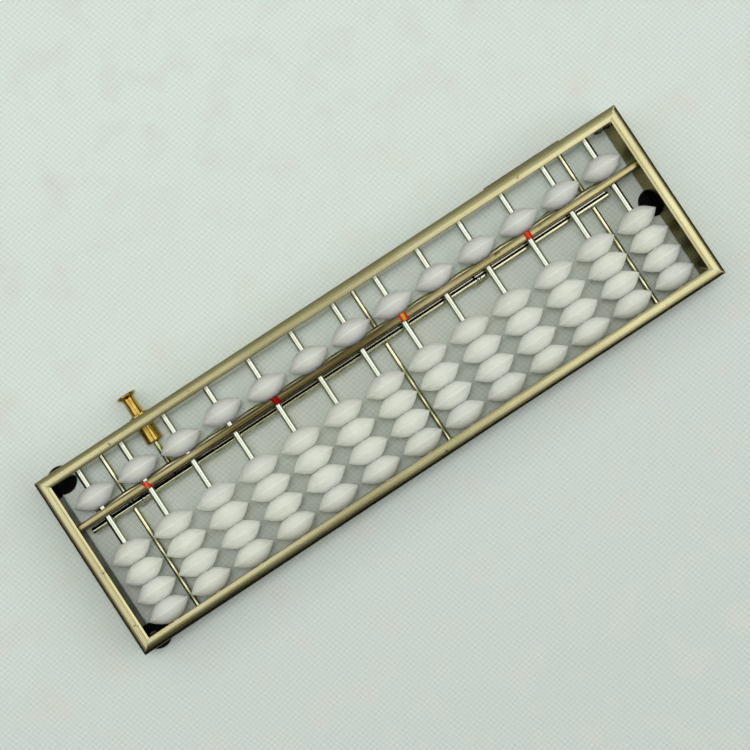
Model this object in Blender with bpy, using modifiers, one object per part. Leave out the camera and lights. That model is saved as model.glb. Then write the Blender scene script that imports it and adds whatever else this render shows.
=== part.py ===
import bpy
import bmesh
from math import atan2, cos, degrees, hypot, pi, sin, sqrt
from mathutils import Matrix, Vector

# Pocket abacus with a metal frame, lens shaped beads and a clearing button.
# X runs along the columns, +Y towards the single beads, +Z up from the table.
# Lengths are in metres.

# Columns
COLUMN_COUNT = 13
COLUMN_PITCH = 0.014
END_MARGIN = 0.0081

# Frame rails, channels that are open underneath
RAIL_WIDTH = 0.0035
RAIL_HEIGHT = 0.0161
RAIL_WALL = 0.0008
RAIL_EDGE_RADIUS = 0.0013
RAIL_EDGE_STEPS = 4
MITRE_GAP = 0.0001

# Feet
FOOT_DIAMETER = 0.0082
FOOT_HEIGHT = 0.0022
FOOT_SEAT_GAP = 0.0003
UPPER_FOOT_INSET_X = 0.0056
UPPER_FOOT_INSET_Y = 0.0022
LOWER_FOOT_INSET_X = 0.0044
LOWER_FOOT_INSET_Y = 0.0029
RIGHT_FOOT_INSET_X = 0.003

# Rods and the beads on them
ROD_DIAMETER = 0.0022
ROD_HEIGHT = 0.0118
ROD_CLEARANCE = 0.00015
ROD_END_PAST_WALL = 0.0005
BEAD_DIAMETER = 0.013
BEAD_THICKNESS = 0.0062
BEAD_FACE_GAP = 0.0001
BEAD_HUB_DIAMETER = 0.0047
EARTH_BEADS = 4
BEAD_RIB_RADIUS_SHARE = 0.708
BEAD_RIB_THICKNESS_SHARE = 0.6

# Room along the rods, from the lower rail to the upper one
EARTH_REST_GAP = 0.00035
EARTH_FREE = 0.0088
BEAM_WIDTH = 0.0022
HEAVEN_REST_GAP = 0.0004
HEAVEN_FREE = 0.00585
STOP_GAP = 0.00025

# How far each single bead lies from the clearing bar, as a share of its free way
HEAVEN_REST_SHARES = (0.13, 0.098, 0.048, 0.176) + (0.0,) * 9

# Beam across the columns
BEAM_HEIGHT = 0.0068
BEAM_EDGE_RADIUS = 0.0008
BEAM_EDGE_STEPS = 3
BEAM_TONGUE = 0.0005
BEAM_SLOT_CLEARANCE = 0.0003

# Clearing bars on both sides under the beam
BAR_DIAMETER = 0.0019
BAR_BEAM_GAP = 0.00025
BAR_BEAD_GAP = 0.00015
BAR_PIVOT_GAP = 0.00027
LOWER_BAR_LEFT_CLEAR = 0.002
LOWER_BAR_RIGHT_CLEAR = 0.0098
UPPER_BAR_LEFT_CLEAR = 0.0057
UPPER_BAR_RIGHT_CLEAR = 0.0096
BAR_PIN_DIAMETER = 0.0012
BAR_PIN_BELOW_LEVER = 0.0004
RIVET_DIAMETER = 0.002
RIVET_HEIGHT = 0.0003

# Guide wires under the bars
WIRE_DIAMETER = 0.0016
WIRE_BAR_GAP = 0.00035
WIRE_CLEARANCE = 0.0001
WIRE_GAP_INDEXES = (0, 6, 11)

# Levers that spread the bars
LEVER_ARM = 0.01285
LEVER_WIDTH = 0.003
LEVER_THICKNESS = 0.00085
LEVER_END_WALL = 0.0006
LEVER_SLOT_CLEARANCE = 0.0003
LEVER_PLUNGER_GAP = 0.0003
PIVOT_DIAMETER = 0.0013
PIVOT_CLEARANCE = 0.00015
PIVOT_SEAT_GAP = 0.0001
PIVOT_HEAD_DIAMETER = 0.0024
PIVOT_HEAD_HEIGHT = 0.0004
PIVOT_HEAD_GAP = 0.0003
PIVOT_PLUNGER_GAP = 0.0003
LEFT_PIVOT_COLUMN_INDEX = 2
LEFT_PIVOT_OFFSET = 0.0043
RIGHT_PIVOT_COLUMN_INDEX = 10
RIGHT_PIVOT_OFFSET = 0.0047

# Clearing button, its bush and its spring
CAP_DIAMETER = 0.00585
CAP_THICKNESS = 0.0012
CAP_RIM = 0.0006
CAP_EDGE = 0.00015
STEM_DIAMETER = 0.0036
STEM_VISIBLE = 0.0054
STEM_IN_BUSH = 0.0009
STEM_CLEARANCE = 0.0001
PLUNGER_DIAMETER = 0.00166
PLUNGER_CLEARANCE = 0.00015
PLUNGER_SEAT_GAP = 0.0001
PLUNGER_BEND_RADIUS = 0.001
BUSH_DIAMETER = 0.00504
BUSH_CLEARANCE = 0.00015
BUSH_INSIDE_LENGTH = 0.0043
BUSH_CHAMFER = 0.0005
BUSH_END_WALL = 0.0008
BUSH_BEAD_GAP = 0.0002
FLANGE_DIAMETER = 0.0061
FLANGE_THICKNESS = 0.0011
FLANGE_SEAT_GAP = 0.0001
SPRING_WIRE = 0.0004
SPRING_TURNS = 5
SPRING_END_GAP = 0.00015

# Round pieces, in sides
BEAD_SIDES = 16
ROD_SIDES = 12
WIRE_SIDES = 10
FOOT_SIDES = 24
BUTTON_SIDES = 24
LEVER_ARC_STEPS = 6
SPRING_POINTS_PER_TURN = 8
PLUNGER_BEND_STEPS = 4

CUT_OVERRUN = 0.001
WELD_DISTANCE = 1e-6

# Places along X
columnX = [(i - (COLUMN_COUNT - 1) / 2) * COLUMN_PITCH for i in range(COLUMN_COUNT)]
innerX = columnX[-1] + END_MARGIN
outerX = innerX + RAIL_WIDTH

# Places along Y, first from the lower rail's inner wall and then centred
stackLength = EARTH_BEADS * BEAD_THICKNESS + (EARTH_BEADS - 1) * BEAD_FACE_GAP
innerDepth = (
    EARTH_REST_GAP + stackLength + EARTH_FREE + BEAM_WIDTH
    + HEAVEN_REST_GAP + BEAD_THICKNESS + HEAVEN_FREE
)
innerY = innerDepth / 2
outerY = innerY + RAIL_WIDTH
beadPitch = BEAD_THICKNESS + BEAD_FACE_GAP
stackBottomY = -innerY + EARTH_REST_GAP
stackCentreY = stackBottomY + stackLength / 2
topEarthY = stackBottomY + stackLength - BEAD_THICKNESS / 2
beamY = stackBottomY + stackLength + EARTH_FREE + BEAM_WIDTH / 2
heavenY = beamY + BEAM_WIDTH / 2 + HEAVEN_REST_GAP + BEAD_THICKNESS / 2
heavenOffsets = [share * HEAVEN_FREE for share in HEAVEN_REST_SHARES]

# Heights
railBottom = FOOT_HEIGHT + FOOT_SEAT_GAP
railTop = railBottom + RAIL_HEIGHT
beamBottom = ROD_HEIGHT - BEAM_HEIGHT / 2
barRadius = BAR_DIAMETER / 2
barZ = beamBottom - BAR_BEAM_GAP - barRadius
wireZ = barZ - barRadius - WIRE_BAR_GAP - WIRE_DIAMETER / 2


def lensHalfThickness(radius):
    """Half the bead's thickness at a radius: hub, rib and tip joined by straight runs."""
    hub = BEAD_HUB_DIAMETER / 2
    tip = BEAD_DIAMETER / 2
    rib = tip * BEAD_RIB_RADIUS_SHARE
    half = BEAD_THICKNESS / 2
    ribHalf = half * BEAD_RIB_THICKNESS_SHARE
    if radius <= hub:
        return half
    if radius <= rib:
        return half + (ribHalf - half) * (radius - hub) / (rib - hub)
    return max(0.0, ribHalf * (tip - radius) / (tip - rib))


def barToBead():
    """Distance along Y from a bead's middle to the middle of a bar that nearly touches it."""
    reach = barRadius + BAR_BEAD_GAP
    drop = ROD_HEIGHT - barZ
    steps = 36
    return max(
        lensHalfThickness(abs(drop - reach * sin(pi / 2 * k / steps)))
        + reach * cos(pi / 2 * k / steps)
        for k in range(steps)
    )


# The clearing linkage
upperBarY = heavenY - barToBead()
barOffset = (BAR_DIAMETER + PIVOT_DIAMETER) / 2 + BAR_PIVOT_GAP
pivotY = upperBarY - barOffset
lowerBarY = pivotY - barOffset
stroke = min(HEAVEN_FREE - offset for offset in heavenOffsets) - STOP_GAP
leverRest = atan2(barOffset, LEVER_ARM)
leverPressed = atan2(barOffset + stroke, LEVER_ARM)
pinNear = hypot(LEVER_ARM, barOffset)
pinFar = hypot(LEVER_ARM, barOffset + stroke)
leftPivotX = columnX[LEFT_PIVOT_COLUMN_INDEX] - LEFT_PIVOT_OFFSET
rightPivotX = columnX[RIGHT_PIVOT_COLUMN_INDEX] - RIGHT_PIVOT_OFFSET

# The button
buttonX = leftPivotX - PIVOT_DIAMETER / 2 - PIVOT_PLUNGER_GAP - PLUNGER_DIAMETER / 2
beadToBush = (BEAD_DIAMETER + BUSH_DIAMETER) / 2 + BUSH_BEAD_GAP
buttonZ = ROD_HEIGHT - sqrt(beadToBush ** 2 - (columnX[LEFT_PIVOT_COLUMN_INDEX] - buttonX) ** 2)
bushInnerY = innerY - BUSH_INSIDE_LENGTH
flangeY = outerY + FLANGE_SEAT_GAP
bushOuterY = flangeY + FLANGE_THICKNESS
stemEndY = bushOuterY - STEM_IN_BUSH
capBottomY = bushOuterY + STEM_VISIBLE
capTopY = capBottomY + CAP_THICKNESS
leverTop = buttonZ - PLUNGER_DIAMETER / 2 - LEVER_PLUNGER_GAP
leverBottom = leverTop - LEVER_THICKNESS

# Feet: (name, x, y)
feet = (
    ("foot_upper_left", -outerX + UPPER_FOOT_INSET_X, outerY - UPPER_FOOT_INSET_Y),
    ("foot_lower_left", -outerX + LOWER_FOOT_INSET_X, -outerY + LOWER_FOOT_INSET_Y),
    ("foot_right", outerX - RIGHT_FOOT_INSET_X, 0.0),
)

# The origin is under the middle of everything, feet and button included
footRadius = FOOT_DIAMETER / 2
minX = min([-outerX] + [x - footRadius for name, x, y in feet])
maxX = max([outerX] + [x + footRadius for name, x, y in feet])
minY = min([-outerY] + [y - footRadius for name, x, y in feet])
maxY = capTopY
middle = Vector(((minX + maxX) / 2, (minY + maxY) / 2, 0.0))

# Clear the scene
for old in list(bpy.data.objects):
    bpy.data.objects.remove(old, do_unlink=True)

partsCollection = bpy.data.collections.new("abacus")
cuttersCollection = bpy.data.collections.new("abacus_cutters")
bpy.context.scene.collection.children.link(partsCollection)
bpy.context.scene.collection.children.link(cuttersCollection)


def makeMaterial(name, colour, roughness, metallic):
    material = bpy.data.materials.new(name)
    material.use_nodes = True
    shader = material.node_tree.nodes["Principled BSDF"]
    shader.inputs["Base Color"].default_value = (*colour, 1.0)
    shader.inputs["Roughness"].default_value = roughness
    shader.inputs["Metallic"].default_value = metallic
    material.diffuse_color = (*colour, 1.0)
    return material


materials = {
    "rail": makeMaterial("champagne_rail", (0.60, 0.53, 0.38), 0.34, 1.0),
    "beam": makeMaterial("champagne_beam", (0.55, 0.47, 0.31), 0.36, 1.0),
    "rod": makeMaterial("bright_rod", (0.82, 0.82, 0.78), 0.12, 1.0),
    "wire": makeMaterial("gold_wire", (0.70, 0.60, 0.34), 0.22, 1.0),
    "bar": makeMaterial("gold_bar", (0.66, 0.56, 0.32), 0.24, 1.0),
    "lever": makeMaterial("lever_plate", (0.72, 0.68, 0.56), 0.3, 1.0),
    "brass": makeMaterial("button_brass", (0.78, 0.55, 0.18), 0.22, 1.0),
    "steel": makeMaterial("pin_steel", (0.62, 0.61, 0.58), 0.3, 1.0),
    "bead": makeMaterial("bead_white", (0.86, 0.87, 0.82), 0.25, 0.0),
    "foot": makeMaterial("foot_rubber", (0.02, 0.02, 0.02), 0.6, 0.0),
}

origins = {}


def addEmpty(name, place, parent=None):
    empty = bpy.data.objects.new(name, None)
    empty.empty_display_size = BEAD_DIAMETER
    partsCollection.objects.link(empty)
    empty.parent = parent
    empty.location = place - (origins[parent.name] if parent else Vector())
    origins[name] = place if parent else Vector()
    return empty


def addObject(name, mesh, material, place, rotation=(0.0, 0.0, 0.0), parent=None):
    """An object whose place is given in the frame's own coordinates."""
    parent = parent or root
    obj = bpy.data.objects.new(name, mesh)
    partsCollection.objects.link(obj)
    obj.parent = parent
    obj.location = Vector(place) - origins[parent.name]
    obj.rotation_euler = rotation
    if not mesh.materials:
        mesh.materials.append(materials[material])
    return obj


def addCutter(name, mesh):
    cutter = bpy.data.objects.new(name, mesh)
    cuttersCollection.objects.link(cutter)
    cutter.parent = root
    cutter.hide_render = True
    cutter.display_type = "WIRE"
    return cutter


def combine(obj, cutter, operation="DIFFERENCE"):
    modifier = obj.modifiers.new(operation.lower(), "BOOLEAN")
    modifier.operation = operation
    modifier.solver = "EXACT"
    modifier.object = cutter


ALONG_X = Matrix.Rotation(pi / 2, 4, "Y")
ALONG_Y = Matrix.Rotation(-pi / 2, 4, "X")
ALONG_Z = Matrix.Identity(4)


def addCylinder(bm, radius, length, centre, turn, sides):
    bmesh.ops.create_cone(
        bm,
        cap_ends=True,
        segments=sides,
        radius1=radius,
        radius2=radius,
        depth=length,
        matrix=Matrix.Translation(centre) @ turn,
    )


def addBox(bm, size, centre):
    matrix = Matrix.Translation(centre) @ Matrix.Diagonal((*size, 1.0))
    bmesh.ops.create_cube(bm, size=1.0, matrix=matrix)


def meshFrom(name, bm, smooth=True):
    mesh = bpy.data.meshes.new(name)
    bm.to_mesh(mesh)
    bm.free()
    if smooth:
        mesh.shade_smooth()
        mesh.set_sharp_from_angle(angle=pi / 6)
    return mesh


def cylinderMesh(name, radius, length, turn, sides):
    bm = bmesh.new()
    addCylinder(bm, radius, length, Vector(), turn, sides)
    return meshFrom(name, bm)


def turnedMesh(name, profile, closed):
    """A profile of (radius, height) points, run down its outer side, for a Screw."""
    mesh = bpy.data.meshes.new(name)
    count = len(profile)
    edges = [(i, i + 1) for i in range(count - 1)]
    if closed:
        edges.append((count - 1, 0))
    mesh.from_pydata([(radius, 0.0, height) for radius, height in profile], edges, [])
    return mesh


def addScrew(obj, sides):
    screw = obj.modifiers.new("turn", "SCREW")
    screw.angle = 2 * pi
    screw.steps = sides
    screw.render_steps = sides
    screw.use_merge_vertices = True
    screw.merge_threshold = WELD_DISTANCE
    screw.use_smooth_shade = True


def outlineMesh(name, outlines, halfThickness):
    """Closed flat outlines, the later ones holes, extruded both ways along Z."""
    curve = bpy.data.curves.new(name, "CURVE")
    curve.dimensions = "2D"
    curve.fill_mode = "BOTH"
    curve.extrude = halfThickness
    for outline in outlines:
        spline = curve.splines.new("POLY")
        spline.points.add(len(outline) - 1)
        for point, (x, y) in zip(spline.points, outline):
            point.co = (x, y, 0.0, 1.0)
        spline.use_cyclic_u = True
    return meshFromCurve(name, curve)


def meshFromCurve(name, curve):
    guide = bpy.data.objects.new(name + "_guide", curve)
    bpy.context.scene.collection.objects.link(guide)
    graph = bpy.context.evaluated_depsgraph_get()
    mesh = bpy.data.meshes.new_from_object(guide.evaluated_get(graph))
    mesh.name = name
    bpy.data.objects.remove(guide, do_unlink=True)
    bpy.data.curves.remove(curve)
    bm = bmesh.new()
    bm.from_mesh(mesh)
    bmesh.ops.remove_doubles(bm, verts=bm.verts, dist=WELD_DISTANCE)
    bmesh.ops.recalc_face_normals(bm, faces=bm.faces)
    bm.to_mesh(mesh)
    bm.free()
    mesh.shade_smooth()
    mesh.set_sharp_from_angle(angle=pi / 6)
    return mesh


def arc(centre, radius, start, end, steps):
    return [
        (
            centre[0] + radius * cos(start + (end - start) * k / steps),
            centre[1] + radius * sin(start + (end - start) * k / steps),
        )
        for k in range(steps + 1)
    ]


def stadium(nearX, farX, radius):
    """A slot's outline along X, with round ends whose centres are at nearX and farX."""
    right = arc((farX, 0.0), radius, -pi / 2, pi / 2, LEVER_ARC_STEPS)
    left = arc((nearX, 0.0), radius, pi / 2, 3 * pi / 2, LEVER_ARC_STEPS)
    return right + left


root = addEmpty("abacus_frame", -middle)


# Rails: a channel profile run along each side, its ends pulled in to the mitre
def railProfile():
    """The channel's outline: x is the depth from the outer face, y the height."""
    edge = RAIL_EDGE_RADIUS
    outer = arc((edge, railTop - edge), edge, pi, pi / 2, RAIL_EDGE_STEPS)
    inner = arc((RAIL_WIDTH - edge, railTop - edge), edge, pi / 2, 0.0, RAIL_EDGE_STEPS)
    hollow = [
        (RAIL_WIDTH, railBottom),
        (RAIL_WIDTH - RAIL_WALL, railBottom),
        (RAIL_WIDTH - RAIL_WALL, railTop - RAIL_WALL),
        (RAIL_WALL, railTop - RAIL_WALL),
        (RAIL_WALL, railBottom),
        (0.0, railBottom),
    ]
    return outer + inner + hollow


def addRail(name, halfLength, outer, turn):
    """turn is how far the rail is turned about Z from the one at -Y."""
    mesh = outlineMesh(name, [railProfile()], halfLength)
    for vertex in mesh.vertices:
        depth, height, along = vertex.co
        reach = halfLength - depth - MITRE_GAP / 2
        along = reach if along > 0 else -reach
        vertex.co = Matrix.Rotation(turn, 3, "Z") @ Vector((along, depth - outer, height))
    bm = bmesh.new()
    bm.from_mesh(mesh)
    bmesh.ops.recalc_face_normals(bm, faces=bm.faces)
    bm.to_mesh(mesh)
    bm.free()
    return addObject(name, mesh, "rail", (0.0, 0.0, 0.0))


bottomRail = addRail("bottom_rail", outerX, outerY, 0.0)
topRail = addRail("top_rail", outerX, outerY, pi)
rightRail = addRail("right_rail", outerY, outerX, pi / 2)
leftRail = addRail("left_rail", outerY, outerX, -pi / 2)

wireX = [(columnX[i] + columnX[i + 1]) / 2 for i in WIRE_GAP_INDEXES]
cutDepth = RAIL_WALL + 2 * CUT_OVERRUN
for name, rail, side in (("bottom", bottomRail, -1), ("top", topRail, 1)):
    holes = bmesh.new()
    wallY = side * (innerY + RAIL_WALL / 2)
    for x in columnX:
        holeRadius = ROD_DIAMETER / 2 + ROD_CLEARANCE
        addCylinder(holes, holeRadius, cutDepth, Vector((x, wallY, ROD_HEIGHT)), ALONG_Y, ROD_SIDES)
    for x in wireX:
        holeRadius = WIRE_DIAMETER / 2 + WIRE_CLEARANCE
        addCylinder(holes, holeRadius, cutDepth, Vector((x, wallY, wireZ)), ALONG_Y, WIRE_SIDES)
    combine(rail, addCutter(name + "_rail_holes", meshFrom(name + "_rail_holes", holes)))

bushHole = bmesh.new()
addCylinder(
    bushHole,
    BUSH_DIAMETER / 2 + BUSH_CLEARANCE,
    RAIL_WIDTH + 2 * CUT_OVERRUN,
    Vector((buttonX, innerY + RAIL_WIDTH / 2, buttonZ)),
    ALONG_Y,
    BUTTON_SIDES,
)
combine(topRail, addCutter("bush_hole", meshFrom("bush_hole", bushHole)))

slotSize = (
    cutDepth,
    BEAM_WIDTH + 2 * BEAM_SLOT_CLEARANCE,
    BEAM_HEIGHT + 2 * BEAM_SLOT_CLEARANCE,
)
for name, rail, side in (("left", leftRail, -1), ("right", rightRail, 1)):
    slot = bmesh.new()
    addBox(slot, slotSize, Vector((side * (innerX + RAIL_WALL / 2), beamY, ROD_HEIGHT)))
    combine(rail, addCutter(name + "_beam_slot", meshFrom(name + "_beam_slot", slot, False)))

# Beam, rounded along its top, with a hole for each rod
beamBody = bmesh.new()
beamLength = 2 * (innerX + BEAM_TONGUE)
addBox(beamBody, (beamLength, BEAM_WIDTH, BEAM_HEIGHT), Vector())
topEdges = [
    edge
    for edge in beamBody.edges
    if all(v.co.z > 0 for v in edge.verts) and edge.calc_length() > BEAM_HEIGHT
]
bmesh.ops.bevel(
    beamBody,
    geom=topEdges,
    offset=BEAM_EDGE_RADIUS,
    segments=BEAM_EDGE_STEPS,
    affect="EDGES",
    profile=0.5,
)
beam = addObject("beam", meshFrom("beam", beamBody), "beam", (0.0, beamY, ROD_HEIGHT))
rodHoles = bmesh.new()
for x in columnX:
    addCylinder(
        rodHoles,
        ROD_DIAMETER / 2 + ROD_CLEARANCE,
        BEAM_WIDTH + 2 * CUT_OVERRUN,
        Vector((x, beamY, ROD_HEIGHT)),
        ALONG_Y,
        ROD_SIDES,
    )
combine(beam, addCutter("beam_rod_holes", meshFrom("beam_rod_holes", rodHoles)))

# Rods and guide wires
rodLength = 2 * (innerY + RAIL_WALL + ROD_END_PAST_WALL)
rodMesh = cylinderMesh("rod", ROD_DIAMETER / 2, rodLength, ALONG_Y, ROD_SIDES)
for i, x in enumerate(columnX):
    addObject(f"rod_{i + 1:02d}", rodMesh, "rod", (x, 0.0, ROD_HEIGHT))
wireMesh = cylinderMesh("guide_wire", WIRE_DIAMETER / 2, rodLength, ALONG_Y, WIRE_SIDES)
for place, x in zip(("left", "middle", "right"), wireX):
    addObject("guide_wire_" + place, wireMesh, "wire", (x, 0.0, wireZ))

# Feet
footMesh = cylinderMesh("foot", footRadius, FOOT_HEIGHT, ALONG_Z, FOOT_SIDES)
for name, x, y in feet:
    addObject(name, footMesh, "foot", (x, y, FOOT_HEIGHT / 2))

# Bush: a flanged tube through the top rail with a wall at its inner end
boreRadius = STEM_DIAMETER / 2 + STEM_CLEARANCE
throatRadius = PLUNGER_DIAMETER / 2 + PLUNGER_CLEARANCE
bushRadius = BUSH_DIAMETER / 2
bushProfile = [
    (boreRadius, bushOuterY),
    (FLANGE_DIAMETER / 2, bushOuterY),
    (FLANGE_DIAMETER / 2, flangeY),
    (bushRadius, flangeY),
    (bushRadius, bushInnerY + BUSH_CHAMFER),
    (bushRadius - BUSH_CHAMFER, bushInnerY),
    (throatRadius, bushInnerY),
    (throatRadius, bushInnerY + BUSH_END_WALL),
    (boreRadius, bushInnerY + BUSH_END_WALL),
]
bushProfile = [(radius, y - flangeY) for radius, y in bushProfile]
bush = addObject(
    "button_bush",
    turnedMesh("button_bush", bushProfile, True),
    "brass",
    (buttonX, flangeY, buttonZ),
    (-pi / 2, 0.0, 0.0),
)
addScrew(bush, BUTTON_SIDES)

# Button: cap, cone and stem in one turned piece
buttonSlide = addEmpty("button_slide", Vector((buttonX, capTopY, buttonZ)), root)
capRadius = CAP_DIAMETER / 2
buttonProfile = [
    (0.0, 0.0),
    (capRadius - CAP_EDGE, 0.0),
    (capRadius, -CAP_EDGE),
    (capRadius, -CAP_RIM),
    (STEM_DIAMETER / 2, -CAP_THICKNESS),
    (STEM_DIAMETER / 2, stemEndY - capTopY),
    (0.0, stemEndY - capTopY),
]
button = addObject(
    "button",
    turnedMesh("button", buttonProfile, False),
    "brass",
    (buttonX, capTopY, buttonZ),
    (-pi / 2, 0.0, 0.0),
    buttonSlide,
)
addScrew(button, BUTTON_SIDES)

# Plunger: a wire from the stem to under the lower bar, bent up at its end
plunger = bpy.data.curves.new("plunger_rod", "CURVE")
plunger.dimensions = "3D"
plunger.bevel_depth = PLUNGER_DIAMETER / 2
plunger.bevel_resolution = 3
plunger.use_fill_caps = True
bendCentre = (lowerBarY + PLUNGER_BEND_RADIUS, buttonZ + PLUNGER_BEND_RADIUS)
plungerTop = barZ - barRadius - PLUNGER_SEAT_GAP
plungerPath = [(stemEndY - PLUNGER_SEAT_GAP, buttonZ)]
plungerPath += arc(bendCentre, PLUNGER_BEND_RADIUS, 3 * pi / 2, pi, PLUNGER_BEND_STEPS)
plungerPath += [(lowerBarY, plungerTop)]
plungerSpline = plunger.splines.new("POLY")
plungerSpline.points.add(len(plungerPath) - 1)
for point, (y, z) in zip(plungerSpline.points, plungerPath):
    point.co = (0.0, y - capTopY, z - buttonZ, 1.0)
addObject(
    "plunger_rod",
    meshFromCurve("plunger_rod", plunger),
    "steel",
    (buttonX, capTopY, buttonZ),
    parent=buttonSlide,
)

# Return spring round the plunger, between the bush's end wall and the stem
springRadius = (boreRadius + PLUNGER_DIAMETER / 2) / 2
springStart = bushInnerY + BUSH_END_WALL + SPRING_END_GAP + SPRING_WIRE / 2
springEnd = stemEndY - SPRING_END_GAP - SPRING_WIRE / 2
springCurve = bpy.data.curves.new("return_spring", "CURVE")
springCurve.dimensions = "3D"
springCurve.bevel_depth = SPRING_WIRE / 2
springCurve.bevel_resolution = 1
springCurve.use_fill_caps = True
springCount = SPRING_TURNS * SPRING_POINTS_PER_TURN
springPath = [
    Vector((
        springRadius * cos(2 * pi * k / SPRING_POINTS_PER_TURN),
        springStart + (springEnd - springStart) * k / springCount,
        springRadius * sin(2 * pi * k / SPRING_POINTS_PER_TURN),
    ))
    for k in range(springCount + 1)
]
springSpline = springCurve.splines.new("POLY")
springSpline.points.add(springCount)
for point, place in zip(springSpline.points, springPath):
    point.co = (place.x, place.y - springStart, place.z, 1.0)
addObject(
    "return_spring",
    meshFromCurve("return_spring", springCurve),
    "steel",
    (buttonX, springStart, buttonZ),
)
leastGap = min(
    (springPath[i] - springPath[j]).length - SPRING_WIRE
    for i in range(springCount + 1)
    for j in range(i + SPRING_POINTS_PER_TURN // 2, springCount + 1)
)
print(f"return_spring least gap to itself {1000 * leastGap:.2f} mm")


# Clearing bars, each with two pins down into the levers
def addBar(name, startX, endX, y, pinPlaces, rivets, parent):
    bm = bmesh.new()
    centre = Vector(((startX + endX) / 2, y, barZ))
    addCylinder(bm, barRadius, endX - startX, Vector(), ALONG_X, ROD_SIDES)
    bar = addObject(name, meshFrom(name, bm), "bar", centre, parent=parent)
    pinBottom = leverBottom - BAR_PIN_BELOW_LEVER
    pins = bmesh.new()
    for x in pinPlaces:
        pinCentre = Vector((x, y, (barZ + pinBottom) / 2))
        addCylinder(pins, BAR_PIN_DIAMETER / 2, barZ - pinBottom, pinCentre, ALONG_Z, ROD_SIDES)
    combine(bar, addCutter(name + "_pins", meshFrom(name + "_pins", pins)), "UNION")
    if rivets:
        heads = bmesh.new()
        headTop = barZ + barRadius + RIVET_HEIGHT
        for x in pinPlaces:
            headCentre = Vector((x, y, (barZ + headTop) / 2))
            addCylinder(heads, RIVET_DIAMETER / 2, headTop - barZ, headCentre, ALONG_Z, ROD_SIDES)
        combine(bar, addCutter(name + "_rivets", meshFrom(name + "_rivets", heads)), "UNION")
    return bar


addBar(
    "lower_clear_bar",
    -innerX + LOWER_BAR_LEFT_CLEAR,
    innerX - LOWER_BAR_RIGHT_CLEAR,
    lowerBarY,
    (leftPivotX - LEVER_ARM, rightPivotX - LEVER_ARM),
    True,
    buttonSlide,
)
upperSlide = addEmpty("upper_bar_slide", Vector((0.0, upperBarY, barZ)), root)
addBar(
    "upper_clear_bar",
    -innerX + UPPER_BAR_LEFT_CLEAR,
    innerX - UPPER_BAR_RIGHT_CLEAR,
    upperBarY,
    (leftPivotX + LEVER_ARM, rightPivotX + LEVER_ARM),
    False,
    upperSlide,
)

# Levers: a flat plate with a pivot hole and a slot for a pin at each end
pinRadius = BAR_PIN_DIAMETER / 2
slotRadius = pinRadius + LEVER_SLOT_CLEARANCE
leverRadius = LEVER_WIDTH / 2
leverEndX = pinFar + slotRadius + LEVER_END_WALL - leverRadius
pivotHole = arc((0.0, 0.0), PIVOT_DIAMETER / 2 + PIVOT_CLEARANCE, 0.0, 2 * pi, 2 * LEVER_ARC_STEPS)
leverMesh = outlineMesh(
    "lever",
    [
        stadium(-leverEndX, leverEndX, leverRadius),
        pivotHole[:-1],
        stadium(pinNear, pinFar, slotRadius),
        stadium(-pinFar, -pinNear, slotRadius),
    ],
    LEVER_THICKNESS / 2,
)
pivotBottom = leverBottom - PIVOT_HEAD_GAP - PIVOT_HEAD_HEIGHT
pivotTop = beamBottom - PIVOT_SEAT_GAP
for name, x in (("left", leftPivotX), ("right", rightPivotX)):
    leverPlace = (x, pivotY, (leverTop + leverBottom) / 2)
    addObject("lever_" + name, leverMesh, "lever", leverPlace, (0.0, 0.0, leverRest))
    pivotProfile = [
        (0.0, pivotTop - pivotBottom),
        (PIVOT_DIAMETER / 2, pivotTop - pivotBottom),
        (PIVOT_DIAMETER / 2, PIVOT_HEAD_HEIGHT),
        (PIVOT_HEAD_DIAMETER / 2, PIVOT_HEAD_HEIGHT),
        (PIVOT_HEAD_DIAMETER / 2, 0.0),
        (0.0, 0.0),
    ]
    pivotMesh = turnedMesh("lever_pivot_" + name, pivotProfile, False)
    pivot = addObject("lever_pivot_" + name, pivotMesh, "steel", (x, pivotY, pivotBottom))
    addScrew(pivot, ROD_SIDES)


# Beads: a lens turned about the rod, on its own or four in a row
def lensSide(centre, first, last):
    """One lens of a profile, from the face at the higher side to the one below."""
    half = BEAD_THICKNESS / 2
    tip = BEAD_DIAMETER / 2
    ribRadius = tip * BEAD_RIB_RADIUS_SHARE
    ribHalf = half * BEAD_RIB_THICKNESS_SHARE
    top = half if first else half + BEAD_FACE_GAP / 2
    points = [
        (BEAD_HUB_DIAMETER / 2, centre + top),
        (ribRadius, centre + ribHalf),
        (tip, centre),
        (ribRadius, centre - ribHalf),
    ]
    if last:
        points.append((BEAD_HUB_DIAMETER / 2, centre - half))
    return points


def beadProfile(count):
    boreSize = ROD_DIAMETER / 2 + ROD_CLEARANCE
    half = ((count - 1) * beadPitch + BEAD_THICKNESS) / 2
    points = [(boreSize, half)]
    for k in range(count):
        centre = half - BEAD_THICKNESS / 2 - k * beadPitch
        points += lensSide(centre, k == 0, k == count - 1)
    return points + [(boreSize, -half)]


heavenMesh = turnedMesh("heaven_bead", beadProfile(1), True)
earthMesh = turnedMesh("earth_beads", beadProfile(EARTH_BEADS), True)
for i, x in enumerate(columnX):
    heaven = addObject(
        f"heaven_bead_{i + 1:02d}",
        heavenMesh,
        "bead",
        (x, heavenY + heavenOffsets[i], ROD_HEIGHT),
        (-pi / 2, 0.0, 0.0),
        upperSlide,
    )
    addScrew(heaven, BEAD_SIDES)
    earth = addObject(
        f"earth_beads_{i + 1:02d}",
        earthMesh,
        "bead",
        (x, stackCentreY, ROD_HEIGHT),
        (-pi / 2, 0.0, 0.0),
    )
    addScrew(earth, BEAD_SIDES)

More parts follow.
